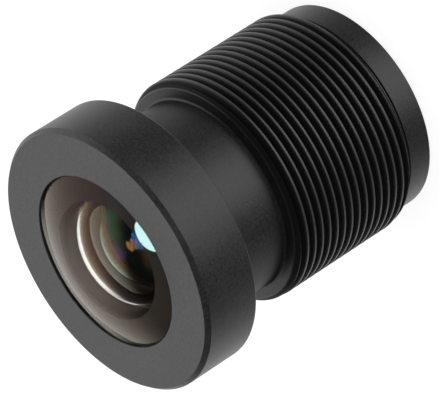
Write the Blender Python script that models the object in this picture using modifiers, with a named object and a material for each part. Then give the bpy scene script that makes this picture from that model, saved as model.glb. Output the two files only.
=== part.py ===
"""A board camera lens with an M12 x 0.5 thread, standing on its rear face with its axis on +Z.

Heights are measured up from the rear face. Every optical piece is stacked down from the seat
behind the front element, and the rear spacer takes up the length that is left.
"""

import math

import bmesh
import bpy

MM = 0.001

# Facets round the axis: the shell that is seen, and the pieces sealed inside it
SHELL_FACETS = 48
INNER_FACETS = 28
SURFACE_BANDS = 4
MERGE_DISTANCE = 0.001 * MM

# Gap between two pieces that sit on or in one another
CLEARANCE = 0.03 * MM

# Lengths along the axis, from the front face back
HEAD_LENGTH = 3.23 * MM
NECK_LENGTH = 3.80 * MM
THREAD_LENGTH = 7.92 * MM
SPIGOT_LENGTH = 1.55 * MM

# Radii that set the rest: the glass in the bore, the front element, the thread and the spigot
GLASS_RADIUS = 4.30 * MM
FRONT_LENS_RADIUS = 5.60 * MM
THREAD_RADIUS = 6.00 * MM
SPIGOT_RADIUS = 5.60 * MM

# Walls round them
NECK_WALL = 0.79 * MM
SEAT_WALL = 0.64 * MM
CAP_WALL = 0.74 * MM
POCKET_WALL = 0.82 * MM

# The thread: a sixty degree vee, 0.5 mm a turn. Its first root starts this far above the shoulder
THREAD_START = 0.26 * MM
THREAD_PITCH = 0.5 * MM
THREAD_DEPTH = 0.30 * MM
THREAD_CREST = 0.09 * MM
LEAD_IN = 0.34 * MM
RELIEF_WIDTH = 0.16 * MM
RELIEF_DEPTH = 0.12 * MM

# Broken edges
HEAD_CHAMFER_ALONG = 0.24 * MM
HEAD_CHAMFER_ACROSS = 0.20 * MM
EDGE_BREAK = 0.10 * MM

# Lip of the front cap
LIP_OVERLAP = 0.98 * MM
APERTURE_TAPER = 0.03 * MM
LIP_DEPTH = 0.10 * MM
LIP_UNDERCUT = 0.19 * MM
LIP_LAND = 0.36 * MM

# Front element and its seat
FRONT_LENS_EDGE = 0.75 * MM
FRONT_RISE = 1.39 * MM
FRONT_HOLLOW_DEPTH = 1.00 * MM
FRONT_HOLLOW_LAND = 2.80 * MM
SEAT_BAFFLE_WIDTH = 2.30 * MM
SEAT_FLANGE = 0.47 * MM

# Rubber ring round the front element, in a rebate at the top of the boss
SEAL_SECTION = 0.30 * MM

# Flat land round each surface of the glass in the bore, and its broken edge
GLASS_LAND = 1.10 * MM
GLASS_BREAK = 0.08 * MM

# Glass behind the seat: thickness at the edge, and how far each surface rises or sinks
SECOND_LENS_EDGE = 1.30 * MM
SECOND_FRONT_RISE = 0.77 * MM
SECOND_REAR_HOLLOW = 1.35 * MM
THIRD_LENS_EDGE = 1.00 * MM
THIRD_FRONT_RISE = 0.59 * MM
THIRD_REAR_RISE = 0.67 * MM
CROWN_EDGE = 0.90 * MM
CROWN_FRONT_RISE = 0.67 * MM
CEMENTED_RISE = 0.84 * MM
FLINT_EDGE = 1.70 * MM
FLINT_REAR_HOLLOW = 0.43 * MM
REAR_LENS_EDGE = 1.00 * MM
REAR_LENS_FRONT_RISE = 0.77 * MM
REAR_LENS_REAR_RISE = 0.37 * MM

# Rings between the glass
SPACER_WALL = 0.90 * MM
SPACER_BEVEL = 0.30 * MM
FIRST_SPACER_LENGTH = 0.95 * MM
STOP_SPACER_LENGTH = 1.00 * MM
STOP_THICKNESS = 0.20 * MM
STOP_HOLE_RADIUS = 1.60 * MM
CROWN_SPACER_LENGTH = 0.90 * MM
BAFFLE_THICKNESS = 0.10 * MM
BAFFLE_REACH = 0.27 * MM

# Rear end
RETAINER_LENGTH = 1.10 * MM
RETAINER_WALL = 0.85 * MM
RETAINER_TO_FILTER = 0.45 * MM
SLOT_WIDTH = 0.80 * MM
SLOT_DEPTH = 0.45 * MM
FILTER_THICKNESS = 0.50 * MM
FILTER_RING_LENGTH = 0.55 * MM
FILTER_RING_WALL = 0.75 * MM
FILTER_RECESS = 0.45 * MM

# Heights worked out from the lengths
SPIGOT_TOP = SPIGOT_LENGTH
THREAD_TOP = SPIGOT_TOP + THREAD_LENGTH
HEAD_BOTTOM = THREAD_TOP + NECK_LENGTH
FRONT_FACE = HEAD_BOTTOM + HEAD_LENGTH
LIP_EDGE = FRONT_FACE - LIP_DEPTH
LIP_UNDERSIDE = LIP_EDGE - LIP_UNDERCUT
BOSS_TOP = LIP_UNDERSIDE - CLEARANCE
FRONT_LENS_TOP = LIP_UNDERSIDE - CLEARANCE
SEAT_BAFFLE_TOP = FRONT_LENS_TOP - FRONT_LENS_EDGE - CLEARANCE
SEAT_FLOOR = SEAT_BAFFLE_TOP - BAFFLE_THICKNESS - CLEARANCE
STACK_TOP = SEAT_FLOOR - SEAT_FLANGE
FILTER_BOTTOM = FILTER_RECESS + FILTER_RING_LENGTH + CLEARANCE
POCKET_DEPTH = FILTER_BOTTOM + FILTER_THICKNESS + CLEARANCE
RETAINER_TOP = POCKET_DEPTH + RETAINER_TO_FILTER + RETAINER_LENGTH

# Radii worked out from the glass outwards
ROOT_RADIUS = THREAD_RADIUS - THREAD_DEPTH
BORE_RADIUS = GLASS_RADIUS + CLEARANCE
NECK_RADIUS = BORE_RADIUS + NECK_WALL
CLEAR_RADIUS = GLASS_RADIUS - GLASS_LAND
SEAT_RADIUS = FRONT_LENS_RADIUS + CLEARANCE
BOSS_RADIUS = SEAT_RADIUS + SEAT_WALL
CAP_BORE_RADIUS = BOSS_RADIUS + CLEARANCE
HEAD_RADIUS = CAP_BORE_RADIUS + CAP_WALL
APERTURE_RADIUS = FRONT_LENS_RADIUS - LIP_OVERLAP
LIP_RADIUS = APERTURE_RADIUS - APERTURE_TAPER
DOME_RADIUS = LIP_RADIUS + LIP_LAND - CLEARANCE
SEAL_RADIUS = SEAT_RADIUS + SEAL_SECTION / 2
REBATE_RADIUS = SEAL_RADIUS + SEAL_SECTION / 2 + CLEARANCE
REBATE_FLOOR = BOSS_TOP - SEAL_SECTION - CLEARANCE
POCKET_RADIUS = SPIGOT_RADIUS - POCKET_WALL

GLASS_TINT = (0.80, 0.86, 0.84, 1.0)


def clear_scene():
    for obj in list(bpy.data.objects):
        bpy.data.objects.remove(obj, do_unlink=True)


def new_collection(name):
    collection = bpy.data.collections.new(name)
    bpy.context.scene.collection.children.link(collection)
    return collection


def material(name, colour, roughness, metallic=0.0, glass=False):
    made = bpy.data.materials.new(name)
    made.use_nodes = True
    shader = made.node_tree.nodes["Principled BSDF"]
    shader.inputs["Base Color"].default_value = colour
    shader.inputs["Roughness"].default_value = roughness
    shader.inputs["Metallic"].default_value = metallic
    shader.inputs["Transmission Weight"].default_value = 1.0 if glass else 0.0
    shader.inputs["IOR"].default_value = 1.62 if glass else 1.5
    made.diffuse_color = colour
    return made


def surface(rim_height, rise, rim_radius):
    """Points of a spherical surface from the axis out to its rim. A negative rise is a hollow."""
    curve = (rim_radius**2 + rise**2) / (2 * abs(rise))
    centre = rim_height + rise - math.copysign(curve, rise)
    spread = math.asin(rim_radius / curve)
    points = []
    for band in range(SURFACE_BANDS + 1):
        angle = spread * band / SURFACE_BANDS
        height = centre + math.copysign(curve * math.cos(angle), rise)
        points.append((curve * math.sin(angle), height))
    return points


def turned(name, profile, closed, facets, look, collection):
    """A turned piece: the profile runs down its outer side and is spun round the axis."""
    mesh = bpy.data.meshes.new(name)
    edges = [(i, i + 1) for i in range(len(profile) - 1)]
    if closed:
        edges.append((len(profile) - 1, 0))
    mesh.from_pydata([(radius, 0.0, height) for radius, height in profile], edges, [])
    obj = bpy.data.objects.new(name, mesh)
    collection.objects.link(obj)
    mesh.materials.append(look)
    screw = obj.modifiers.new("Turn", "SCREW")
    screw.axis = "Z"
    screw.angle = 2 * math.pi
    screw.steps = facets
    screw.render_steps = facets
    screw.use_merge_vertices = True
    screw.merge_threshold = MERGE_DISTANCE
    screw.use_smooth_shade = True
    return obj


def lens(name, top, edge, radius, front, rear, look, collection):
    """A glass element. front and rear are (rise, rim radius), a rise being outwards."""
    bottom = top - edge
    rear_rise, rear_rim = rear
    profile = surface(top, *front)
    profile += [
        (radius - GLASS_BREAK, top),
        (radius, top - GLASS_BREAK),
        (radius, bottom + GLASS_BREAK),
        (radius - GLASS_BREAK, bottom),
    ]
    profile += reversed(surface(bottom, -rear_rise, rear_rim))
    turned(name, profile, False, INNER_FACETS, look, collection)


def evaluated_mesh(obj):
    graph = bpy.context.evaluated_depsgraph_get()
    return bpy.data.meshes.new_from_object(obj.evaluated_get(graph))


def ring(name, top, length, outer, inner, look, collection, bevel=0.0):
    """A plain ring, its bore opened out at both ends by the bevel."""
    bottom = top - length
    profile = [(inner + bevel, top), (outer, top), (outer, bottom), (inner + bevel, bottom)]
    if bevel:
        profile += [(inner, bottom + bevel), (inner, top - bevel)]
    return turned(name, profile, True, INNER_FACETS, look, collection)


def thread_limit(height):
    """The radius that the lead-in cones leave at this height of the threaded length."""
    from_end = min(THREAD_TOP - height, height - SPIGOT_TOP)
    return ROOT_RADIUS + THREAD_DEPTH * from_end / LEAD_IN


def add_thread(shape, collection):
    """The helical surface between the shoulder and the spigot, fading out in the lead-ins.

    A row of vees that passes both ends of the thread is screwed up by one pitch a turn.
    What passes an end is laid on its ring, and what passes a cone is laid on the cone.
    """
    rows = []
    turns = math.ceil(THREAD_LENGTH / THREAD_PITCH) + 3
    for turn in range(turns):
        root = THREAD_TOP + THREAD_START - turn * THREAD_PITCH
        crest = root - THREAD_PITCH / 2
        rows += [
            (ROOT_RADIUS, root),
            (THREAD_RADIUS, crest + THREAD_CREST / 2),
            (THREAD_RADIUS, crest - THREAD_CREST / 2),
        ]
    sweep = turned("thread_sweep", rows, False, SHELL_FACETS, None, collection)
    sweep.modifiers["Turn"].use_merge_vertices = False
    sweep.modifiers["Turn"].screw_offset = THREAD_PITCH
    thread = bmesh.new()
    thread.from_mesh(evaluated_mesh(sweep))
    for vert in thread.verts:
        vert.co.z = min(max(vert.co.z, SPIGOT_TOP), THREAD_TOP)
        radius = vert.co.xy.length
        vert.co.xy *= min(radius, thread_limit(vert.co.z)) / radius
    mesh = bpy.data.meshes.new("thread_surface")
    thread.to_mesh(mesh)
    thread.free()
    shape.from_mesh(mesh)
    bpy.data.meshes.remove(mesh)
    bpy.data.objects.remove(sweep, do_unlink=True)


def slot_cutter(collection):
    """A bar across the retaining ring that leaves its two spanner slots."""
    bar = bmesh.new()
    bmesh.ops.create_cube(bar, size=1.0)
    height = 2 * SLOT_DEPTH
    bmesh.ops.scale(bar, verts=bar.verts, vec=(4 * BORE_RADIUS, SLOT_WIDTH, height))
    mesh = bpy.data.meshes.new("spanner_slot")
    bar.to_mesh(mesh)
    bar.free()
    cutter = bpy.data.objects.new("spanner_slot", mesh)
    cutter.location.z = RETAINER_TOP - RETAINER_LENGTH
    collection.objects.link(cutter)
    return cutter


def cut(obj, cutter):
    cutter.hide_render = True
    cutter.display_type = "WIRE"
    boolean = obj.modifiers.new(cutter.name, "BOOLEAN")
    boolean.operation = "DIFFERENCE"
    boolean.solver = "EXACT"
    boolean.object = cutter


def barrel(look, parts):
    """The turned body: boss, neck, threaded length and spigot, bored right through."""
    groove_radius = SPIGOT_RADIUS - RELIEF_DEPTH
    profile = [
        (ROOT_RADIUS, SPIGOT_TOP),
        (groove_radius, SPIGOT_TOP),
        (groove_radius, SPIGOT_TOP - RELIEF_WIDTH),
        (SPIGOT_RADIUS, SPIGOT_TOP - RELIEF_WIDTH),
        (SPIGOT_RADIUS, EDGE_BREAK),
        (SPIGOT_RADIUS - EDGE_BREAK, 0.0),
        (POCKET_RADIUS, 0.0),
        (POCKET_RADIUS, POCKET_DEPTH),
        (BORE_RADIUS, POCKET_DEPTH),
        (BORE_RADIUS, STACK_TOP),
        (CLEAR_RADIUS + EDGE_BREAK, STACK_TOP),
        (CLEAR_RADIUS + EDGE_BREAK, SEAT_FLOOR),
        (SEAT_RADIUS, SEAT_FLOOR),
        (SEAT_RADIUS, REBATE_FLOOR),
        (REBATE_RADIUS, REBATE_FLOOR),
        (REBATE_RADIUS, BOSS_TOP),
        (BOSS_RADIUS - EDGE_BREAK, BOSS_TOP),
        (BOSS_RADIUS, BOSS_TOP - EDGE_BREAK),
        (BOSS_RADIUS, HEAD_BOTTOM),
        (NECK_RADIUS, HEAD_BOTTOM),
        (NECK_RADIUS, THREAD_TOP + EDGE_BREAK),
        (NECK_RADIUS + EDGE_BREAK, THREAD_TOP),
        (ROOT_RADIUS, THREAD_TOP),
    ]
    body = turned("barrel", profile, False, SHELL_FACETS, look, parts)
    mesh = evaluated_mesh(body)
    shape = bmesh.new()
    shape.from_mesh(mesh)
    add_thread(shape, parts)
    bmesh.ops.remove_doubles(shape, verts=shape.verts, dist=MERGE_DISTANCE)
    for face in shape.faces:
        face.smooth = True
    shape.to_mesh(mesh)
    shape.free()
    body.modifiers.clear()
    body.data = mesh


def front_cap(look, parts):
    """The head: a cap over the boss whose lip traps the front element."""
    profile = [
        (APERTURE_RADIUS, FRONT_FACE),
        (HEAD_RADIUS - HEAD_CHAMFER_ACROSS, FRONT_FACE),
        (HEAD_RADIUS, FRONT_FACE - HEAD_CHAMFER_ALONG),
        (HEAD_RADIUS, HEAD_BOTTOM + EDGE_BREAK),
        (HEAD_RADIUS - EDGE_BREAK, HEAD_BOTTOM),
        (CAP_BORE_RADIUS, HEAD_BOTTOM),
        (CAP_BORE_RADIUS, LIP_UNDERSIDE),
        (LIP_RADIUS + LIP_LAND, LIP_UNDERSIDE),
        (LIP_RADIUS, LIP_EDGE),
    ]
    turned("front_cap", profile, True, SHELL_FACETS, look, parts)


def front_lens(look, parts):
    """A domed outer face over a deep hollow, resting on the seat under the lip."""
    front = (FRONT_RISE, DOME_RADIUS)
    rear = (-FRONT_HOLLOW_DEPTH, FRONT_LENS_RADIUS - FRONT_HOLLOW_LAND)
    top, edge, radius = FRONT_LENS_TOP, FRONT_LENS_EDGE, FRONT_LENS_RADIUS
    lens("front_lens", top, edge, radius, front, rear, look, parts)


def seat_rings(rubber, film, parts):
    """The seal round the front element's edge and the thin baffle it rests on."""
    half = SEAL_SECTION / 2
    sides = 6
    section = []
    for side in range(sides):
        angle = math.pi / 2 - 2 * math.pi * side / sides
        section.append(
            (SEAL_RADIUS + half * math.cos(angle), BOSS_TOP - half + half * math.sin(angle))
        )
    turned("front_seal", section, True, INNER_FACETS, rubber, parts)
    outer, hole = FRONT_LENS_RADIUS, FRONT_LENS_RADIUS - SEAT_BAFFLE_WIDTH
    ring("seat_baffle", SEAT_BAFFLE_TOP, BAFFLE_THICKNESS, outer, hole, film, parts)


def stack(glass, metal, film, parts):
    """The train behind the seat, each piece resting on the one before it."""
    floor = STACK_TOP

    def place(length):
        nonlocal floor
        top = floor - CLEARANCE
        floor = top - length
        return top

    def element(name, edge, front_rise, rear_rise):
        front, rear = (front_rise, CLEAR_RADIUS), (rear_rise, CLEAR_RADIUS)
        lens(name, place(edge), edge, GLASS_RADIUS, front, rear, glass, parts)

    def spacer(name, length):
        inner = GLASS_RADIUS - SPACER_WALL
        ring(name, place(length), length, GLASS_RADIUS, inner, metal, parts, SPACER_BEVEL)

    def thin(name, length, hole, look):
        ring(name, place(length), length, GLASS_RADIUS, hole, look, parts)

    baffle_hole = CLEAR_RADIUS - BAFFLE_REACH
    element("second_lens", SECOND_LENS_EDGE, SECOND_FRONT_RISE, -SECOND_REAR_HOLLOW)
    thin("first_baffle", BAFFLE_THICKNESS, baffle_hole, film)
    spacer("first_spacer", FIRST_SPACER_LENGTH)
    element("third_lens", THIRD_LENS_EDGE, THIRD_FRONT_RISE, THIRD_REAR_RISE)
    spacer("stop_spacer", STOP_SPACER_LENGTH)
    thin("aperture_stop", STOP_THICKNESS, STOP_HOLE_RADIUS, metal)
    spacer("crown_spacer", CROWN_SPACER_LENGTH)
    element("crown_lens", CROWN_EDGE, CROWN_FRONT_RISE, CEMENTED_RISE)
    element("flint_lens", FLINT_EDGE, -CEMENTED_RISE, -FLINT_REAR_HOLLOW)
    thin("rear_baffle", BAFFLE_THICKNESS, baffle_hole, film)
    rear_lens_top = RETAINER_TOP + CLEARANCE + REAR_LENS_EDGE
    spacer("rear_spacer", floor - rear_lens_top - 2 * CLEARANCE)
    element("rear_lens", REAR_LENS_EDGE, REAR_LENS_FRONT_RISE, REAR_LENS_REAR_RISE)


def retaining_ring(look, parts, cutters):
    """Screws in behind the rear lens. Two slots take a spanner."""
    outer, inner = GLASS_RADIUS, GLASS_RADIUS - RETAINER_WALL
    made = ring("retaining_ring", RETAINER_TOP, RETAINER_LENGTH, outer, inner, look, parts)
    cut(made, slot_cutter(cutters))


def rear_filter(glass, metal, parts):
    """The infrared cut filter in its pocket, and the ring that holds it there."""
    radius = POCKET_RADIUS - CLEARANCE
    top = FILTER_BOTTOM + FILTER_THICKNESS
    profile = [(0.0, top), (radius, top), (radius, FILTER_BOTTOM), (0.0, FILTER_BOTTOM)]
    turned("ir_cut_filter", profile, False, INNER_FACETS, glass, parts)
    ring_top = FILTER_BOTTOM - CLEARANCE
    inner = radius - FILTER_RING_WALL
    ring("filter_ring", ring_top, FILTER_RING_LENGTH, radius, inner, metal, parts)


def main():
    clear_scene()
    parts = new_collection("m12_board_camera_lens")
    cutters = new_collection("cutters")
    shell = material("black_anodised", (0.045, 0.045, 0.048, 1.0), 0.45, 0.6)
    inner = material("matt_black_ring", (0.015, 0.015, 0.016, 1.0), 0.75, 0.2)
    film = material("black_film", (0.01, 0.01, 0.01, 1.0), 0.85)
    rubber = material("black_rubber", (0.02, 0.02, 0.02, 1.0), 0.6)
    glass = material("coated_glass", GLASS_TINT, 0.02, glass=True)
    filter_glass = material("filter_glass", (0.72, 0.90, 0.92, 1.0), 0.02, glass=True)
    barrel(shell, parts)
    front_cap(shell, parts)
    front_lens(glass, parts)
    seat_rings(rubber, film, parts)
    stack(glass, inner, film, parts)
    retaining_ring(inner, parts, cutters)
    rear_filter(filter_glass, inner, parts)
    for obj in parts.objects:
        obj.data.set_sharp_from_angle(angle=math.radians(30))


main()
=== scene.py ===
import math

import bmesh
import bpy
from mathutils import Matrix, Vector


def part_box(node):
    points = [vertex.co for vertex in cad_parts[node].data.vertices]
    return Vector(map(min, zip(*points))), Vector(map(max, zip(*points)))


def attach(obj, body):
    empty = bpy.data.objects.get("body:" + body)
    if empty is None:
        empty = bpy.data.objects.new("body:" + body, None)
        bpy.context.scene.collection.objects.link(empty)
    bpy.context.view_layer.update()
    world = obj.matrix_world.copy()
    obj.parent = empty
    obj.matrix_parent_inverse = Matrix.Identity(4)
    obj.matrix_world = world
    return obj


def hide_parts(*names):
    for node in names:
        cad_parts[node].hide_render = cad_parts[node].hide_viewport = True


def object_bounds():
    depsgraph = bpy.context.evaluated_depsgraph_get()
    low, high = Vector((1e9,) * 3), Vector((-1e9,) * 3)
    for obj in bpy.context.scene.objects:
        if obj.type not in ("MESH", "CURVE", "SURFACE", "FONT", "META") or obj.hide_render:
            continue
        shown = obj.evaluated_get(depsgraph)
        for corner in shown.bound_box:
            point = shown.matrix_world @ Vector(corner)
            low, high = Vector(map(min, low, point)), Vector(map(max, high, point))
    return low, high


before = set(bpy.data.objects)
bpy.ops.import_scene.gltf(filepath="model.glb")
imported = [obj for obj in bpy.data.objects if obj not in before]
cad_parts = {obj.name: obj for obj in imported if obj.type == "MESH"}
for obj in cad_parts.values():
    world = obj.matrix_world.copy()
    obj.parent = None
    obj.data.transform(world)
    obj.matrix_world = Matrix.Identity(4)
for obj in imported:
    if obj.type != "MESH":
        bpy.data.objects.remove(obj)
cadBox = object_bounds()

mm = 0.001
weld = 0.001 * mm  # points closer than this are one


# Node trees. A Num is one number in a tree, so that shader maths reads as arithmetic.
class Num:
    def __init__(self, tree, socket):
        self.tree, self.socket = tree, socket

    def maths(self, operation, *values):
        node = self.tree.node("ShaderNodeMath", {"operation": operation}, dict(enumerate(values)))
        return Num(self.tree, node.outputs[0])

    def __add__(self, other):
        return self.maths("ADD", self, other)

    def __radd__(self, other):
        return self.maths("ADD", other, self)

    def __sub__(self, other):
        return self.maths("SUBTRACT", self, other)

    def __rsub__(self, other):
        return self.maths("SUBTRACT", other, self)

    def __mul__(self, other):
        return self.maths("MULTIPLY", self, other)

    def __rmul__(self, other):
        return self.maths("MULTIPLY", other, self)

    def __truediv__(self, other):
        return self.maths("DIVIDE", self, other)

    def __rtruediv__(self, other):
        return self.maths("DIVIDE", other, self)

    def __pow__(self, other):
        return self.maths("POWER", self, other)

    def least(self, other):
        return self.maths("MINIMUM", self, other)

    def most(self, other):
        return self.maths("MAXIMUM", self, other)

    def of(self, operation):
        # an operation on this number alone
        return self.maths(operation, self)

    def between(self, low, high):
        # 0 below low, 1 above high, and smooth on the way
        node = self.tree.node(
            "ShaderNodeMapRange",
            {"interpolation_type": "SMOOTHSTEP"},
            {"Value": self, "From Min": low, "From Max": high},
        )
        return Num(self.tree, node.outputs["Result"])


class Tree:
    def __init__(self, nodes, links):
        self.nodes, self.links = nodes, links

    def node(self, kind, settings=None, inputs=None):
        made = self.nodes.new(kind)
        for name, value in (settings or {}).items():
            setattr(made, name, value)
        for name, value in (inputs or {}).items():
            if isinstance(name, int):
                socket = made.inputs[name]
            else:
                socket = next(s for s in made.inputs if s.enabled and s.name == name)
            value = value.socket if isinstance(value, Num) else value
            if isinstance(value, bpy.types.NodeSocket):
                self.links.new(value, socket)
            else:
                socket.default_value = value
        return made

    def num(self, kind, settings=None, inputs=None, output=0):
        return Num(self, self.node(kind, settings, inputs).outputs[output])

    def mix(self, factor, first, second):
        settings = {"data_type": "RGBA"}
        node = self.node("ShaderNodeMix", settings, {"Factor": factor, "A": first, "B": second})
        return next(s for s in node.outputs if s.enabled)

    def place(self):
        # the point on the piece, in millimetres: its distance from the axis, its height, and itself
        point = self.node("ShaderNodeTexCoord").outputs["Object"]
        scaled = self.node(
            "ShaderNodeVectorMath", {"operation": "SCALE"}, {"Vector": point, "Scale": 1 / mm}
        ).outputs["Vector"]
        parts = self.node("ShaderNodeSeparateXYZ", inputs={"Vector": scaled})
        x, y, z = (Num(self, socket) for socket in parts.outputs)
        return (x * x + y * y) ** 0.5, z, scaled

    def noise(self, point, scale, detail=3.0, rough=0.55):
        # scale is in spots a millimetre, where point is in millimetres
        return self.num(
            "ShaderNodeTexNoise", None,
            {"Vector": point, "Scale": scale, "Detail": detail, "Roughness": rough},
        )

    def slant(self):
        # 0 where the surface faces the eye, 1 where it is seen edge on
        return self.num("ShaderNodeLayerWeight", None, {"Blend": 0.5}, "Facing")

    def blend(self, share, first, second):
        inputs = {0: share, 1: first.outputs[0], 2: second.outputs[0]}
        return self.node("ShaderNodeMixShader", None, inputs)

    def bump(self, height, strength, depth):
        # depth is in millimetres
        inputs = {"Height": height, "Strength": strength, "Distance": depth * mm}
        return self.node("ShaderNodeBump", None, inputs).outputs["Normal"]


def grey(value):
    return (value, value, value, 1.0)


def newMaterial(name):
    material = bpy.data.materials.new(name)
    material.use_nodes = True
    material.node_tree.nodes.clear()
    return material, Tree(material.node_tree.nodes, material.node_tree.links)


def finishMaterial(tree, shader):
    tree.node("ShaderNodeOutputMaterial", None, {"Surface": shader.outputs[0]})


# Black anodised aluminium, turned and then blasted fine. Pairs of numbers are where a change
# begins and where it is complete.
anodised = {
    "dark": (0.0055, 0.0055, 0.0058, 1.0),
    "light": (0.0330, 0.0330, 0.0338, 1.0),
    "tone": (0.34, 0.66),
    "grain": 9.0,  # spots a millimetre, as for every grain and cloud below
    "cloud": 0.55,
    "cloudShare": 0.2,
    "roughness": 0.40,
    "roughnessSpread": 0.18,
    "cloudRoughness": 0.08,
    "index": 1.56,
    "marks": 26.0,  # turning marks a millimetre
    "marksLean": 0.83,  # how much they change along the axis, against across it
    "bump": 0.8,
    "bumpDepth": 0.016,
}

# What the thread adds: crests painted lighter, partly rubbed thin and partly a painted highlight;
# flanks painted darker as a painted shade; and a neck darkened and dulled at a slant, also a
# painted shade
threadWearAndPaintedLight = {
    "crest": 6.0,
    "crestWearAndHighlight": (0.050, 0.050, 0.051, 1.0),
    "crestWearAndHighlightBelowCrest": (0.03, 0.002),
    "crestWearAndHighlightMottle": 0.5,
    # the flanks' colour is a painted shade
    "flank": (0.010, 0.010, 0.0104, 1.0),
    "paintedShadeBelowCrest": (0.02, 0.12),
    "paintedFlankShade": 0.75,
    "bottom": (1.60, 1.62),
    "top": (9.40, 9.45),
    "neck": (9.46, 9.50),
    "neckSlant": (0.30, 0.75),
    "paintedNeckShade": 0.45,
}


def anodisedMaterial(name, sizes, markStrength, wearAndPaintedLight=None):
    material, tree = newMaterial(name)
    radius, height, point = tree.place()
    grain = tree.noise(point, sizes["grain"], detail=4.0, rough=0.65)
    cloud = tree.noise(point, sizes["cloud"], detail=2.0)
    marks = tree.num(
        "ShaderNodeTexNoise",
        {"noise_dimensions": "1D"},
        {"W": radius + height * sizes["marksLean"], "Scale": sizes["marks"], "Detail": 2.0},
    )
    tone = grain * (1 - sizes["cloudShare"]) + cloud * sizes["cloudShare"]
    colour = tree.mix(tone.between(*sizes["tone"]), sizes["dark"], sizes["light"])
    if wearAndPaintedLight:
        below = wearAndPaintedLight["crest"] - radius
        onThread = height.between(*wearAndPaintedLight["bottom"]) * (1 - height.between(*wearAndPaintedLight["top"]))
        # crests painted lighter: partly rubbed anodising, partly a painted highlight
        mottle = 1 + (grain - 0.5) * wearAndPaintedLight["crestWearAndHighlightMottle"]
        crestWearAndHighlight = below.between(*wearAndPaintedLight["crestWearAndHighlightBelowCrest"]) * onThread * mottle
        # flanks painted darker: a painted shade
        flank = below.between(*wearAndPaintedLight["paintedShadeBelowCrest"]) * onThread
        colour = tree.mix(crestWearAndHighlight, tree.mix(flank, colour, wearAndPaintedLight["flank"]), wearAndPaintedLight["crestWearAndHighlight"])
    grainRoughness = (grain - 0.5) * sizes["roughnessSpread"]
    cloudRoughness = (cloud - 0.5) * sizes["cloudRoughness"]
    relief = grain * (1 - markStrength) + marks * markStrength
    shader = tree.node(
        "ShaderNodeBsdfPrincipled", None,
        {
            "Base Color": colour,
            "Roughness": sizes["roughness"] + grainRoughness + cloudRoughness,
            "Metallic": 0.0,
            "IOR": sizes["index"],
            "Normal": tree.bump(relief, sizes["bump"], sizes["bumpDepth"]),
        },
    )
    if wearAndPaintedLight:
        slant = tree.slant()
        # the neck darkened and dulled where it is seen at a slant: a painted shade
        neck = height.between(*wearAndPaintedLight["neck"]) * slant.between(*wearAndPaintedLight["neckSlant"])
        # painted shade: the flanks, and the neck where it is seen at a slant, blend into a dark
        # diffuse
        paintedShadeShare = flank * wearAndPaintedLight["paintedFlankShade"] + neck * wearAndPaintedLight["paintedNeckShade"]
        paintedShadeShader = tree.node("ShaderNodeBsdfDiffuse", None, {"Color": wearAndPaintedLight["flank"]})
        shader = tree.blend(paintedShadeShare, shader, paintedShadeShader)
    finishMaterial(tree, shader)
    return material


# Matt black of the rings inside, with the fine steps that a turning tool leaves
innerBlack = {
    "dark": (0.006, 0.0058, 0.0055, 1.0),
    "light": (0.016, 0.015, 0.014, 1.0),
    "tone": (0.35, 0.65),
    "roughness": 0.62,
    "roughnessSpread": 0.2,
    "grain": 30.0,
    "marks": 18.0,
    "marksLean": 0.71,
    "marksShare": 0.7,
    "bump": 0.5,
    "bumpDepth": 0.010,
}


def innerMaterial(name, sizes):
    material, tree = newMaterial(name)
    radius, height, point = tree.place()
    marks = tree.num(
        "ShaderNodeTexNoise",
        {"noise_dimensions": "1D"},
        {"W": radius + height * sizes["marksLean"], "Scale": sizes["marks"], "Detail": 1.0},
    )
    grain = tree.noise(point, sizes["grain"])
    relief = marks * sizes["marksShare"] + grain * (1 - sizes["marksShare"])
    shader = tree.node(
        "ShaderNodeBsdfPrincipled", None,
        {
            "Base Color": tree.mix(marks.between(*sizes["tone"]), sizes["dark"], sizes["light"]),
            "Roughness": sizes["roughness"] + (grain - 0.5) * sizes["roughnessSpread"],
            "Normal": tree.bump(relief, sizes["bump"], sizes["bumpDepth"]),
        },
    )
    finishMaterial(tree, shader)
    return material


# Carbon-filled film of the baffles, and the rubber of the seal
softBlack = {
    "blotch": 12,  # grains across
    "blotchShare": 0.3,
    "blotchRoughness": 0.15,
    "bump": 0.4,
}
baffleFilm = softBlack | {
    "dark": 0.004,
    "light": 0.010,
    "roughness": 0.70,
    "grain": 20.0,
    "bumpDepth": 0.004,
}
sealRubber = softBlack | {
    "dark": 0.010,
    "light": 0.022,
    "roughness": 0.55,
    "grain": 9.0,
    "bumpDepth": 0.008,
}


def softBlackMaterial(name, sizes):
    material, tree = newMaterial(name)
    point = tree.place()[2]
    grain = tree.noise(point, sizes["grain"], detail=4.0, rough=0.6)
    blotch = tree.noise(point, sizes["grain"] / sizes["blotch"])
    tone = grain * (1 - sizes["blotchShare"]) + blotch * sizes["blotchShare"]
    shader = tree.node(
        "ShaderNodeBsdfPrincipled", None,
        {
            "Base Color": tree.mix(tone, grey(sizes["dark"]), grey(sizes["light"])),
            "Roughness": sizes["roughness"] + (blotch - 0.5) * sizes["blotchRoughness"],
            "Normal": tree.bump(grain, sizes["bump"], sizes["bumpDepth"]),
        },
    )
    finishMaterial(tree, shader)
    return material


# Optical glass. A film is its thickness in nanometres and its index, which set the hue of what the
# glass mirrors. A coat of more layers changes hue faster at a slant, so in slanting further films
# take over one by one, each between two slants.
polished = {
    "haze": 0.9,
    "hazeTint": (0.97, 0.96, 0.94),
    "specks": 14.0,
    "speckFrom": (0.74, 0.80),
    "roughness": 0.002,
    "speckRoughness": 0.05,
    "paintedRimSheen": (0.9, 0.85, 0.76, 1.0),  # a painted sheen: it shows only on a far rim
    "paintedSheenFrom": (0.74, 0.86),
    "paintedSheenTo": (0.885, 0.92),
}


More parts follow.
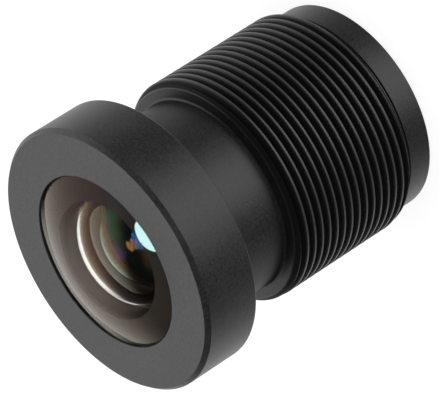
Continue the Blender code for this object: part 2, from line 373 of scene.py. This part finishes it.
def glassMaterial(name, sizes, tint, index, film, slanting=(), paintedSheenShare=0.0):
    material, tree = newMaterial(name)
    point = tree.place()[2]
    haze = tree.noise(point, sizes["haze"], detail=2.0)
    specks = tree.noise(point, sizes["specks"], detail=1.0).between(*sizes["speckFrom"])
    hazed = tuple(part * share for part, share in zip(tint, sizes["hazeTint"])) + (1.0,)
    colour = tree.mix(haze, tint, hazed)
    rough = sizes["roughness"] + specks * sizes["speckRoughness"]

    def coated(thickness, filmIndex):
        return tree.node(
            "ShaderNodeBsdfPrincipled", None,
            {
                "Base Color": colour,
                "Roughness": rough,
                "IOR": index,
                "Transmission Weight": 1.0,
                "Thin Film Thickness": thickness,
                "Thin Film IOR": filmIndex,
            },
        )

    shader = coated(*film)
    slant = tree.slant()
    for thickness, filmIndex, low, high in slanting:
        shader = tree.blend(slant.between(low, high), shader, coated(thickness, filmIndex))
    # a painted sheen: a pale diffuse is mixed in over a narrow band of slants, which draws a bright
    # line on the far rim
    if paintedSheenShare:
        paintedRimSheen = tree.node("ShaderNodeBsdfDiffuse", None, {"Color": sizes["paintedRimSheen"]})
        paintedSheenBand = slant.between(*sizes["paintedSheenFrom"]) * (1 - slant.between(*sizes["paintedSheenTo"]))
        shader = tree.blend(paintedSheenBand * paintedSheenShare, shader, paintedRimSheen)
    finishMaterial(tree, shader)
    return material


# Ink on the ground edge of a glass element
inked = {
    "dark": (0.024, 0.0165, 0.010, 1.0),
    "light": (0.050, 0.035, 0.023, 1.0),
    "roughness": 0.5,
    "roughnessSpread": 0.2,
    "grain": 16.0,
    "bump": 0.3,
    "bumpDepth": 0.004,
}


def edgeInkMaterial(name, sizes):
    material, tree = newMaterial(name)
    grain = tree.noise(tree.place()[2], sizes["grain"], detail=4.0, rough=0.6)
    shader = tree.node(
        "ShaderNodeBsdfPrincipled", None,
        {
            "Base Color": tree.mix(grain, sizes["dark"], sizes["light"]),
            "Roughness": sizes["roughness"] + (grain - 0.5) * sizes["roughnessSpread"],
            "Normal": tree.bump(grain, sizes["bump"], sizes["bumpDepth"]),
        },
    )
    finishMaterial(tree, shader)
    return material


shellBlack = anodisedMaterial("shell_black", anodised, markStrength=0.35)
threadBlack = anodisedMaterial("thread_black", anodised, markStrength=0.15, wearAndPaintedLight=threadWearAndPaintedLight)
ringBlack = innerMaterial("ring_black", innerBlack)
filmBlack = softBlackMaterial("film_black", baffleFilm)
rubberBlack = softBlackMaterial("rubber_black", sealRubber)
edgeInk = edgeInkMaterial("edge_ink", inked)
print("materials made")


# Shapes
def section(node):
    # the corners of a turned CAD node as (radius, height) in millimetres
    found = set()
    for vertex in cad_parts[node].data.vertices:
        found.add((round(math.hypot(vertex.co.x, vertex.co.y) / mm, 3), round(vertex.co.z / mm, 3)))
    return sorted(found)


def rounded(corners, closed=True, steps=4, support=0.03):
    # corners are (radius, height, fillet); each fillet becomes an arc with a point beside it
    outline = []
    count = len(corners)
    for place, (radius, height, fillet) in enumerate(corners):
        here = Vector((radius, height))
        if not fillet or (not closed and place in (0, count - 1)):
            outline.append((radius, height))
            continue
        before = Vector(corners[place - 1][:2]) - here
        after = Vector(corners[(place + 1) % count][:2]) - here
        halfAngle = before.angle(after) / 2
        reach = fillet / math.tan(halfAngle)
        before.normalize()
        after.normalize()
        centre = here + (before + after).normalized() * (fillet / math.sin(halfAngle))
        start = here + before * reach - centre
        end = here + after * reach - centre
        outline.append(tuple(here + before * (reach + support)))
        sweep = start.angle(end)
        for step in range(steps + 1):
            share = step / steps
            point = start * math.sin((1 - share) * sweep) + end * math.sin(share * sweep)
            outline.append(tuple(centre + point / math.sin(sweep)))
        outline.append(tuple(here + after * (reach + support)))
    return outline


def spun(name, outline, facets, closed=True, inkFrom=None):
    # a profile in millimetres, spun round the axis; beyond inkFrom it takes the second material
    shape = bmesh.new()
    points = [shape.verts.new((radius * mm, 0.0, height * mm)) for radius, height in outline]
    pairs = list(zip(points, points[1:] + points[:1])) if closed else list(zip(points, points[1:]))
    edges = [shape.edges.new(pair) for pair in pairs]
    bmesh.ops.spin(
        shape, geom=points + edges, cent=(0, 0, 0), axis=(0, 0, 1),
        angle=2 * math.pi, steps=facets, use_merge=True,
    )
    bmesh.ops.remove_doubles(shape, verts=shape.verts, dist=weld)
    bmesh.ops.dissolve_degenerate(shape, edges=shape.edges, dist=weld)
    bmesh.ops.recalc_face_normals(shape, faces=shape.faces)
    for face in shape.faces:
        face.smooth = True
        if inkFrom:
            reach = min(vertex.co.xy.length for vertex in face.verts)
            face.material_index = int(reach > inkFrom * mm - weld)
    mesh = bpy.data.meshes.new(name)
    shape.to_mesh(mesh)
    shape.free()
    return mesh


def addPiece(name, mesh, materials, node, sharp=34):
    mesh.set_sharp_from_angle(angle=math.radians(sharp))
    piece = bpy.data.objects.new(name, mesh)
    bpy.context.scene.collection.objects.link(piece)
    for material in materials:
        mesh.materials.append(material)
    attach(piece, "root")
    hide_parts(node)


# Head: one turned cap whose lip holds the front element
headSizes = {
    "facets": 192,
    "chamferAcross": 0.20,
    "chamferAlong": 0.24,
    "chamferFillet": 0.035,
    "bottomFillet": 0.10,
    "innerFillet": 0.02,
    "lipFillet": 0.03,
}


def makeHead(sizes):
    corners = section("front_cap")
    low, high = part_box("front_cap")
    radius, bottom, top = high.x / mm, low.z / mm, high.z / mm
    bore = min(r for r, z in corners if z == round(bottom, 3))
    aperture = min(r for r, z in corners if z == round(top, 3))
    lip, lipEdge = corners[0]
    under = max(z for r, z in corners if r == bore)
    land = min(r for r, z in corners if z == under)
    outline = rounded([
        (aperture, top, sizes["lipFillet"]),
        (radius - sizes["chamferAcross"], top, sizes["chamferFillet"]),
        (radius, top - sizes["chamferAlong"], sizes["chamferFillet"]),
        (radius, bottom, sizes["bottomFillet"]),
        (bore, bottom, sizes["innerFillet"]),
        (bore, under, 0),
        (land, under, 0),
        (lip, lipEdge, sizes["innerFillet"]),
    ])
    mesh = spun("headShell", outline, sizes["facets"])
    addPiece("headShell", mesh, [shellBlack], "front_cap")


makeHead(headSizes)
print("head made")


# Barrel: boss, neck, thread and spigot in one. The thread is a helix that Geometry Nodes adds.
barrelSizes = {
    "facets": 192,
    "neckWall": 0.79,
    "rootRadius": 5.70,
    "crestRadius": 6.00,
    "crestWidth": 0.10,
    "pitch": 0.50,
    "start": 0.26,  # height of the first root above the shoulder, on the +X side
    "leadIn": 0.34,
    "rowsPerTurn": 10,
    "spareTurns": 3,  # the two ends flatten them
    "threadBottom": 1.55,
    "threadTop": 9.47,
    "spigotRadius": 5.60,
    "reliefRadius": 5.48,
    "reliefWidth": 0.16,
    "spigotFillet": 0.06,
    "reliefFillet": 0.03,
    "pocketFillet": 0.04,
    "boreFillet": 0.03,
    "seatFillet": 0.02,
    "rebateFillet": 0.03,
    "bossFillet": 0.05,
    "neckFillet": 0.12,
}

threadSockets = {
    "Geometry": ("Geometry",),
    "Float": (
        "Crest Radius", "Root Radius", "Crest Width", "Pitch", "Start", "Lead In", "Bottom", "Top",
    ),
    "Int": ("Facets", "Rows", "Spare Turns"),
    "Material": ("Material",),
}


def threadGroup(sockets):
    # Adds the helix to the geometry that comes in. A flat grid is rolled up by one pitch a turn:
    # one way along it is round the axis, and the other is down the thread.
    group = bpy.data.node_groups.new("helicalThread", "GeometryNodeTree")
    for kind, names in sockets.items():
        for name in names:
            group.interface.new_socket(name, in_out="INPUT", socket_type="NodeSocket" + kind)
    group.interface.new_socket("Geometry", in_out="OUTPUT", socket_type="NodeSocketGeometry")
    tree = Tree(group.nodes, group.links)
    given = tree.node("NodeGroupInput").outputs
    value = {socket.name: Num(tree, socket) for socket in given if socket.name}
    pitch, top, bottom, root = (value[name] for name in ("Pitch", "Top", "Bottom", "Root Radius"))
    turns = ((top - bottom) / pitch).of("CEIL") + value["Spare Turns"]
    rows = {"Vertices X": turns * value["Rows"] + 1, "Vertices Y": value["Facets"] + 1}
    grid = tree.node("GeometryNodeMeshGrid", None, {"Size X": 1.0, "Size Y": 1.0} | rows)
    position = tree.node("GeometryNodeInputPosition").outputs[0]
    spot = tree.node("ShaderNodeSeparateXYZ", None, {"Vector": position})
    down = (Num(tree, spot.outputs["X"]) + 0.5) * turns
    share = Num(tree, spot.outputs["Y"]) + 0.5
    height = (top + value["Start"] - (down - share) * pitch).least(top).most(bottom)
    fromCrest = (down.of("FRACT") - 0.5).of("ABSOLUTE") * pitch
    flank = (pitch - value["Crest Width"]) / 2
    rise = ((pitch / 2 - fromCrest) / flank).least(1.0)
    cone = (top - height).least(height - bottom) / value["Lead In"]
    radius = root + (value["Crest Radius"] - root) * rise.least(cone)
    angle = share * (2 * math.pi)
    across, along = radius * angle.of("COSINE"), radius * angle.of("SINE")
    point = tree.node("ShaderNodeCombineXYZ", None, {"X": across, "Y": along, "Z": height})
    helix = tree.node(
        "GeometryNodeSetPosition", None,
        {"Geometry": grid.outputs["Mesh"], "Position": point.outputs[0]},
    )
    joined = tree.node("GeometryNodeJoinGeometry")
    tree.links.new(given["Geometry"], joined.inputs[0])
    tree.links.new(helix.outputs[0], joined.inputs[0])
    welded = tree.node(
        "GeometryNodeMergeByDistance", None, {"Geometry": joined.outputs[0], "Distance": weld}
    )
    real = tree.node("GeometryNodeRealizeInstances", None, {"Geometry": welded.outputs[0]})
    painted = tree.node(
        "GeometryNodeSetMaterial", None,
        {"Geometry": real.outputs[0], "Material": given["Material"]},
    )
    tree.node("NodeGroupOutput", None, {"Geometry": painted.outputs[0]})
    return group


def throughNodes(name, mesh, group, values):
    # runs a mesh through a node group and gives the result as a plain mesh
    carrier = bpy.data.objects.new(name, mesh)
    bpy.context.scene.collection.objects.link(carrier)
    modifier = carrier.modifiers.new(group.name, "NODES")
    modifier.node_group = group
    sockets = {s.name: s.identifier for s in group.interface.items_tree if s.in_out == "INPUT"}
    for label, value in values.items():
        modifier[sockets[label]] = value
    graph = bpy.context.evaluated_depsgraph_get()
    result = bpy.data.meshes.new_from_object(carrier.evaluated_get(graph))
    bpy.data.objects.remove(carrier, do_unlink=True)
    return result


def makeBarrel(sizes):
    corners = section("barrel")
    boss = max(r for r, z in corners)
    bossTop = max(z for r, z in corners)
    headBottom = min(z for r, z in corners if r == boss)
    pocket = min(r for r, z in corners if z == 0)
    pocketTop = max(z for r, z in corners if r == pocket)
    inner = [(r, z) for r, z in corners if z > headBottom]
    hole = min(r for r, z in corners)
    stackTop = min(z for r, z in inner if r == hole)
    seatFloor = max(z for r, z in inner if r == hole)
    bore = min(r for r, z in corners if z == pocketTop)
    seat = min(r for r, z in inner if z > seatFloor)
    rebateFloor = max(z for r, z in inner if r == seat)
    rebate = min(r for r, z in inner if z == bossTop)
    neck = bore + sizes["neckWall"]
    root, top, bottom = sizes["rootRadius"], sizes["threadTop"], sizes["threadBottom"]
    spigot, relief = sizes["spigotRadius"], sizes["reliefRadius"]
    outline = rounded([
        (root, bottom, 0),
        (relief, bottom, 0),
        (relief, bottom - sizes["reliefWidth"], 0),
        (spigot, bottom - sizes["reliefWidth"], sizes["reliefFillet"]),
        (spigot, 0, sizes["spigotFillet"]),
        (pocket, 0, sizes["pocketFillet"]),
        (pocket, pocketTop, 0),
        (bore, pocketTop, sizes["boreFillet"]),
        (bore, stackTop, 0),
        (hole, stackTop, sizes["seatFillet"]),
        (hole, seatFloor, sizes["seatFillet"]),
        (seat, seatFloor, 0),
        (seat, rebateFloor, sizes["seatFillet"]),
        (rebate, rebateFloor, 0),
        (rebate, bossTop, sizes["rebateFillet"]),
        (boss, bossTop, sizes["bossFillet"]),
        (boss, headBottom, 0),
        (neck, headBottom, 0),
        (neck, top, sizes["neckFillet"]),
        (root, top, 0),
    ], closed=False)
    body = spun("barrelShell", outline, sizes["facets"], closed=False)
    mesh = throughNodes("barrelShell", body, threadGroup(threadSockets), {
        "Crest Radius": sizes["crestRadius"] * mm,
        "Root Radius": root * mm,
        "Crest Width": sizes["crestWidth"] * mm,
        "Pitch": sizes["pitch"] * mm,
        "Start": sizes["start"] * mm,
        "Lead In": sizes["leadIn"] * mm,
        "Bottom": bottom * mm,
        "Top": top * mm,
        "Facets": sizes["facets"],
        "Rows": sizes["rowsPerTurn"],
        "Spare Turns": sizes["spareTurns"],
        "Material": threadBlack,
    })
    shape = bmesh.new()
    shape.from_mesh(mesh)
    bmesh.ops.dissolve_degenerate(shape, edges=shape.edges, dist=weld)
    bmesh.ops.recalc_face_normals(shape, faces=shape.faces)
    for face in shape.faces:
        face.smooth = True
    shape.to_mesh(mesh)
    shape.free()
    mesh.materials.clear()
    addPiece("barrelShell", mesh, [threadBlack], "barrel", sharp=24)


makeBarrel(barrelSizes)
print("barrel made")


# Glass. The form of each element is read from its CAD node, and its coating is set here. The
# hollow of the front element has a coat of its own, and the flat round it is inked.
glassSizes = {"facets": 128, "bands": 20}
hollowCoat = {"tint": (0.97, 0.95, 0.91, 1.0), "index": 1.60, "film": (183.0, 1.27)}
coatings = {
    "front_lens": {
        "tint": (0.97, 0.95, 0.91, 1.0), "index": 1.60, "film": (193.0, 1.38),
        "slanting": [(104.0, 1.38, 0.15, 0.26)], "paintedSheenShare": 0.20,
    },
    "second_lens": {
        "tint": (0.96, 0.97, 0.95, 1.0), "index": 1.53, "film": (152.0, 1.20),
        "slanting": [(486.0, 1.24, 0.185, 0.225), (245.0, 1.45, 0.27, 0.36)],
    },
    "third_lens": {"tint": (0.97, 0.96, 0.97, 1.0), "index": 1.66, "film": (130.0, 1.38)},
    "crown_lens": {"tint": (0.97, 0.97, 0.96, 1.0), "index": 1.60, "film": (105.0, 1.38)},
    "flint_lens": {"tint": (0.97, 0.96, 0.93, 1.0), "index": 1.72, "film": (105.0, 1.38)},
    "rear_lens": {"tint": (0.97, 0.97, 0.97, 1.0), "index": 1.60, "film": (145.0, 1.38)},
}


def cap(apex, rim, rimRadius, bands):
    # a spherical surface from the axis to its rim
    rise = apex - rim
    curve = (rimRadius**2 + rise**2) / (2 * abs(rise))
    centre = apex - math.copysign(curve, rise)
    spread = math.asin(rimRadius / curve)
    points = []
    for band in range(bands + 1):
        angle = spread * band / bands
        height = centre + math.copysign(curve * math.cos(angle), rise)
        points.append((curve * math.sin(angle), height))
    return points


def makeLens(node, piece, sizes):
    corners = section(node)
    radius = corners[-1][0]
    wall = [z for r, z in corners if r == radius]
    land = max(r for r, z in corners if r < radius)
    rims = [z for r, z in corners if r == land]
    top, bottom = max(rims), min(rims)
    axis = [z for r, z in corners if r == 0]
    frontRim = max(r for r, z in corners if z == top and r < land)
    rearRim = max(r for r, z in corners if z == bottom and r < land)
    front = cap(max(axis), top, frontRim, sizes["bands"])
    rear = cap(min(axis), bottom, rearRim, sizes["bands"])
    edge = [(land, top), (radius, max(wall)), (radius, min(wall)), (land, bottom)]
    mesh = spun(piece, front + edge + rear[::-1], sizes["facets"], closed=False, inkFrom=land)
    looks = [glassMaterial(node + "_glass", polished, **coatings[node]), edgeInk]
    if node == "front_lens":
        looks.append(glassMaterial("hollow_glass", polished, **hollowCoat))
        for face in mesh.polygons:
            if face.normal.z < 0 and face.material_index == 0:
                level = max(mesh.vertices[i].co.z for i in face.vertices) < bottom * mm + weld
                face.material_index = 1 if level else 2
    addPiece(piece, mesh, looks, node, sharp=20)


for lensNode, lensPiece in {
    "front_lens": "frontDome",
    "second_lens": "secondElement",
    "third_lens": "thirdElement",
    "crown_lens": "crownElement",
    "flint_lens": "flintElement",
    "rear_lens": "rearElement",
}.items():
    makeLens(lensNode, lensPiece, glassSizes)
print("glass made")


# Rings of the train, read from their CAD nodes
ringSizes = {"facets": 128, "fillet": 0.02, "leastBevel": 0.001}


def makeRing(node, piece, look, sizes):
    corners = section(node)
    inner, outer = corners[0][0], corners[-1][0]
    low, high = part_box(node)
    bottom, top = low.z / mm, high.z / mm
    boreTop = max(z for r, z in corners if r == inner)
    bevel = top - boreTop
    if bevel > sizes["leastBevel"]:
        outline = rounded([
            (inner + bevel, top, sizes["fillet"]),
            (outer, top, sizes["fillet"]),
            (outer, bottom, sizes["fillet"]),
            (inner + bevel, bottom, sizes["fillet"]),
            (inner, bottom + bevel, sizes["fillet"]),
            (inner, top - bevel, sizes["fillet"]),
        ])
    else:
        outline = [(inner, top), (outer, top), (outer, bottom), (inner, bottom)]
    mesh = spun(piece, outline, sizes["facets"])
    addPiece(piece, mesh, [look], node)


for ringNode, ringPiece, ringLook, ringSlot in (
    ("seat_baffle", "seatBaffle", filmBlack, "black_film"),
    ("first_baffle", "firstBaffle", filmBlack, "black_film"),
    ("first_spacer", "firstSpacer", ringBlack, "matt_black_ring"),
    ("stop_spacer", "stopSpacer", ringBlack, "matt_black_ring"),
    ("aperture_stop", "apertureStop", ringBlack, "matt_black_ring"),
    ("crown_spacer", "crownSpacer", ringBlack, "matt_black_ring"),
    ("rear_baffle", "rearBaffle", filmBlack, "black_film"),
    ("rear_spacer", "rearSpacer", ringBlack, "matt_black_ring"),
    ("filter_ring", "filterRing", ringBlack, "matt_black_ring"),
):
    makeRing(ringNode, ringPiece, ringLook, ringSizes)


# Rubber seal: a round section laid in its rebate
sealSizes = {"facets": 128, "sides": 20}


def makeSeal(sizes):
    corners = section("front_seal")
    inner, outer = corners[0][0], corners[-1][0]
    heights = [z for r, z in corners]
    middle, half = (max(heights) + min(heights)) / 2, (max(heights) - min(heights)) / 2
    centre = (inner + outer) / 2
    outline = []
    for side in range(sizes["sides"]):
        angle = -2 * math.pi * side / sizes["sides"]
        across = centre + (outer - inner) / 2 * math.cos(angle)
        outline.append((across, middle + half * math.sin(angle)))
    mesh = spun("frontSeal", outline, sizes["facets"])
    addPiece("frontSeal", mesh, [rubberBlack], "front_seal", sharp=60)


makeSeal(sealSizes)


# Retaining ring, with two slots for a spanner
retainerSizes = {"slotWidth": 0.80, "slotDepth": 0.45, "facets": 128, "fillet": 0.03}


def makeRetainer(sizes):
    corners = section("retaining_ring")
    inner, outer = corners[0][0], corners[-1][0]
    low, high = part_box("retaining_ring")
    bottom, top = low.z / mm, high.z / mm
    fillet = sizes["fillet"]
    outline = rounded([
        (inner, top, fillet),
        (outer, top, fillet),
        (outer, bottom, fillet),
        (inner, bottom, fillet),
    ])
    mesh = spun("retainingRing", outline, sizes["facets"])
    cutter = bmesh.new()
    bmesh.ops.create_cube(cutter, size=1.0)
    reach = Vector((3 * outer, sizes["slotWidth"], 2 * sizes["slotDepth"])) * mm
    bmesh.ops.scale(cutter, verts=cutter.verts, vec=reach)
    bmesh.ops.translate(cutter, verts=cutter.verts, vec=(0, 0, bottom * mm))
    bar = bpy.data.objects.new("slotBar", bpy.data.meshes.new("slotBar"))
    cutter.to_mesh(bar.data)
    cutter.free()
    ring = bpy.data.objects.new("retainingRing", mesh)
    bpy.context.scene.collection.objects.link(bar)
    bpy.context.scene.collection.objects.link(ring)
    slot = ring.modifiers.new("slots", "BOOLEAN")
    slot.object = bar
    slot.solver = "EXACT"
    graph = bpy.context.evaluated_depsgraph_get()
    result = bpy.data.meshes.new_from_object(ring.evaluated_get(graph))
    bpy.data.objects.remove(ring, do_unlink=True)
    bpy.data.objects.remove(bar, do_unlink=True)
    addPiece("retainingRing", result, [ringBlack], "retaining_ring")


makeRetainer(retainerSizes)


# Infrared filter
filterSizes = {"facets": 128, "edge": 0.04}
filterCoat = {"tint": (0.70, 0.92, 0.93, 1.0), "index": 1.52, "film": (420.0, 1.9)}


def makeFilter(sizes):
    low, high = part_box("ir_cut_filter")
    radius, bottom, top = high.x / mm, low.z / mm, high.z / mm
    edge = sizes["edge"]
    outline = [
        (0, top), (radius - edge, top), (radius, top - edge),
        (radius, bottom + edge), (radius - edge, bottom), (0, bottom),
    ]
    mesh = spun("filterPlate", outline, sizes["facets"], closed=False)
    look = glassMaterial("filter_glass", polished, **filterCoat)
    addPiece("filterPlate", mesh, [look], "ir_cut_filter", sharp=20)


makeFilter(filterSizes)
print("rings, seal and filter made")


# Floor and light, in metres, watts and degrees
stage = {
    "floorSide": 4.0,
    "floorDrop": 0.00002,
    "floorWhite": 0.92,
    "floorGrain": 0.4,
    "floorSpread": 0.01,
    "floorShine": 1.20,
    "shadowShare": 0.25,
    "skyDiffuse": 0.43,
    "skySeen": 1.16,
    "softboxFrom": (0.0, -2.5),  # from the lens's axis: towards +X, and towards the far side
    "softboxAway": 0.150,
    "softboxSize": (0.056, 0.050),
    "softboxPower": 0.120,
    "skyTurn": 36.0,  # how far the bright half of the sky is turned towards +X
    "dusk": (0.22, 0.68),  # the sky darkens towards the camera, between these shares of the way
    "darkest": 0.04,
    "straightUp": 0.0001,  # keeps the division in makeSky from failing there
    "horizon": (-0.10, 0.05),  # heights between which the low sky gives way to the high one
    # below the horizon: a glow on the camera side, dark beside it, and bright on the far side
    "lowGlow": 1.5,
    "lowGlowFrom": (0.72, 1.0),
    "lowDark": 0.14,
    "lowBright": 0.90,
    "lowBrightFrom": (-0.35, 0.95),
}


def lightPath(tree):
    # whether a ray is the camera's own, and whether it was mirrored or went through glass
    path = tree.node("ShaderNodeLightPath")
    camera = Num(tree, path.outputs["Is Camera Ray"])
    glossy = Num(tree, path.outputs["Is Glossy Ray"])
    through = Num(tree, path.outputs["Is Transmission Ray"])
    return camera, glossy.most(through)


def makeFloor(sizes):
    shape = bmesh.new()
    bmesh.ops.create_grid(shape, x_segments=1, y_segments=1, size=sizes["floorSide"] / 2)
    mesh = bpy.data.meshes.new("studioFloor")
    shape.to_mesh(mesh)
    shape.free()
    material, tree = newMaterial("studio_floor")
    camera, seen = lightPath(tree)
    grain = tree.noise(tree.place()[2], sizes["floorGrain"])
    white, spread = sizes["floorWhite"], sizes["floorSpread"]
    paperColour = tree.mix(grain, grey(white - spread), grey(white + spread))
    paper = tree.node("ShaderNodeBsdfDiffuse", None, {"Color": paperColour})
    glow = {"Color": grey(1.0), "Strength": sizes["floorShine"]}
    shine = tree.node("ShaderNodeEmission", None, glow)
    lit = tree.blend(camera * (1 - sizes["shadowShare"]), paper, shine)
    clear = tree.node("ShaderNodeBsdfTransparent")
    finishMaterial(tree, tree.blend(seen, lit, clear))
    mesh.materials.append(material)
    floor = bpy.data.objects.new("studioFloor", mesh)
    floor.location.z = -sizes["floorDrop"]
    bpy.context.scene.collection.objects.link(floor)


def makeSky(sizes):
    world = bpy.data.worlds.new("studioSky")
    bpy.context.scene.world = world
    world.use_nodes = True
    world.node_tree.nodes.clear()
    tree = Tree(world.node_tree.nodes, world.node_tree.links)
    camera, seen = lightPath(tree)
    heading = tree.node("ShaderNodeTexCoord").outputs["Generated"]
    parts = tree.node("ShaderNodeSeparateXYZ", None, {"Vector": heading})
    x, y, z = (Num(tree, socket) for socket in parts.outputs)
    turn = math.radians(sizes["skyTurn"])
    away = y * math.cos(turn) + x * math.sin(turn)
    high = sizes["darkest"] + (1 - sizes["darkest"]) * away.between(*sizes["dusk"])
    beyond = y / (x * x + y * y + sizes["straightUp"]) ** 0.5  # 1 on the far side, -1 on the near
    glow = (0 - beyond).between(*sizes["lowGlowFrom"]) * (sizes["lowGlow"] - sizes["lowDark"])
    far = beyond.between(*sizes["lowBrightFrom"]) * (sizes["lowBright"] - sizes["lowDark"])
    low = sizes["lowDark"] + glow + far
    mirrored = sizes["skySeen"] * (low + (high - low) * z.between(*sizes["horizon"]))
    unseen = seen * mirrored + (1 - seen) * sizes["skyDiffuse"]
    strength = camera + (1 - camera) * unseen
    back = tree.node("ShaderNodeBackground", None, {"Color": grey(1.0), "Strength": strength})
    tree.node("ShaderNodeOutputWorld", None, {"Surface": back.outputs[0]})


def makeSoftbox(sizes):
    light = bpy.data.lights.new("softbox", "AREA")
    light.shape = "ELLIPSE"
    light.size, light.size_y = sizes["softboxSize"]
    light.energy = sizes["softboxPower"]
    lamp = bpy.data.objects.new("softbox", light)
    across, away = (math.radians(angle) for angle in sizes["softboxFrom"])
    heading = Vector((math.sin(across), math.sin(away), math.cos(away))).normalized()
    target = Vector((0, 0, cadBox[1].z))
    lamp.location = target + heading * sizes["softboxAway"]
    lamp.rotation_euler = heading.to_track_quat("Z", "Y").to_euler()
    bpy.context.scene.collection.objects.link(lamp)


makeFloor(stage)
makeSky(stage)
makeSoftbox(stage)
print("stage made")


# Camera: a long lens that looks down past the head, rolled so that the axis points down left
view = {
    "aim": (-0.465, 1.55, 8.25),  # millimetres, as the distance is
    "distance": 228.19,
    "elevation": 31.615,
    "roll": -122.62,
    "focalLength": 382.91,
    "sensor": 36.0,
    "clipStart": 0.01,  # metres
}


def makeCamera(sizes):
    camera = bpy.data.cameras.new("camera")
    camera.sensor_width = sizes["sensor"]
    camera.lens = sizes["focalLength"]
    camera.clip_start = sizes["clipStart"]
    eye = bpy.data.objects.new("camera", camera)
    elevation = math.radians(sizes["elevation"])
    forward = Vector((0, math.cos(elevation), -math.sin(elevation)))
    level = Matrix.Rotation(math.pi / 2 - elevation, 4, "X")
    turned = level @ Matrix.Rotation(math.radians(sizes["roll"]), 4, "Z")
    place = Matrix.Translation((Vector(sizes["aim"]) - forward * sizes["distance"]) * mm)
    eye.matrix_world = place @ turned
    bpy.context.scene.collection.objects.link(eye)
    bpy.context.scene.camera = eye


makeCamera(view)
bpy.context.scene.view_settings.view_transform = "Standard"
print("camera made")
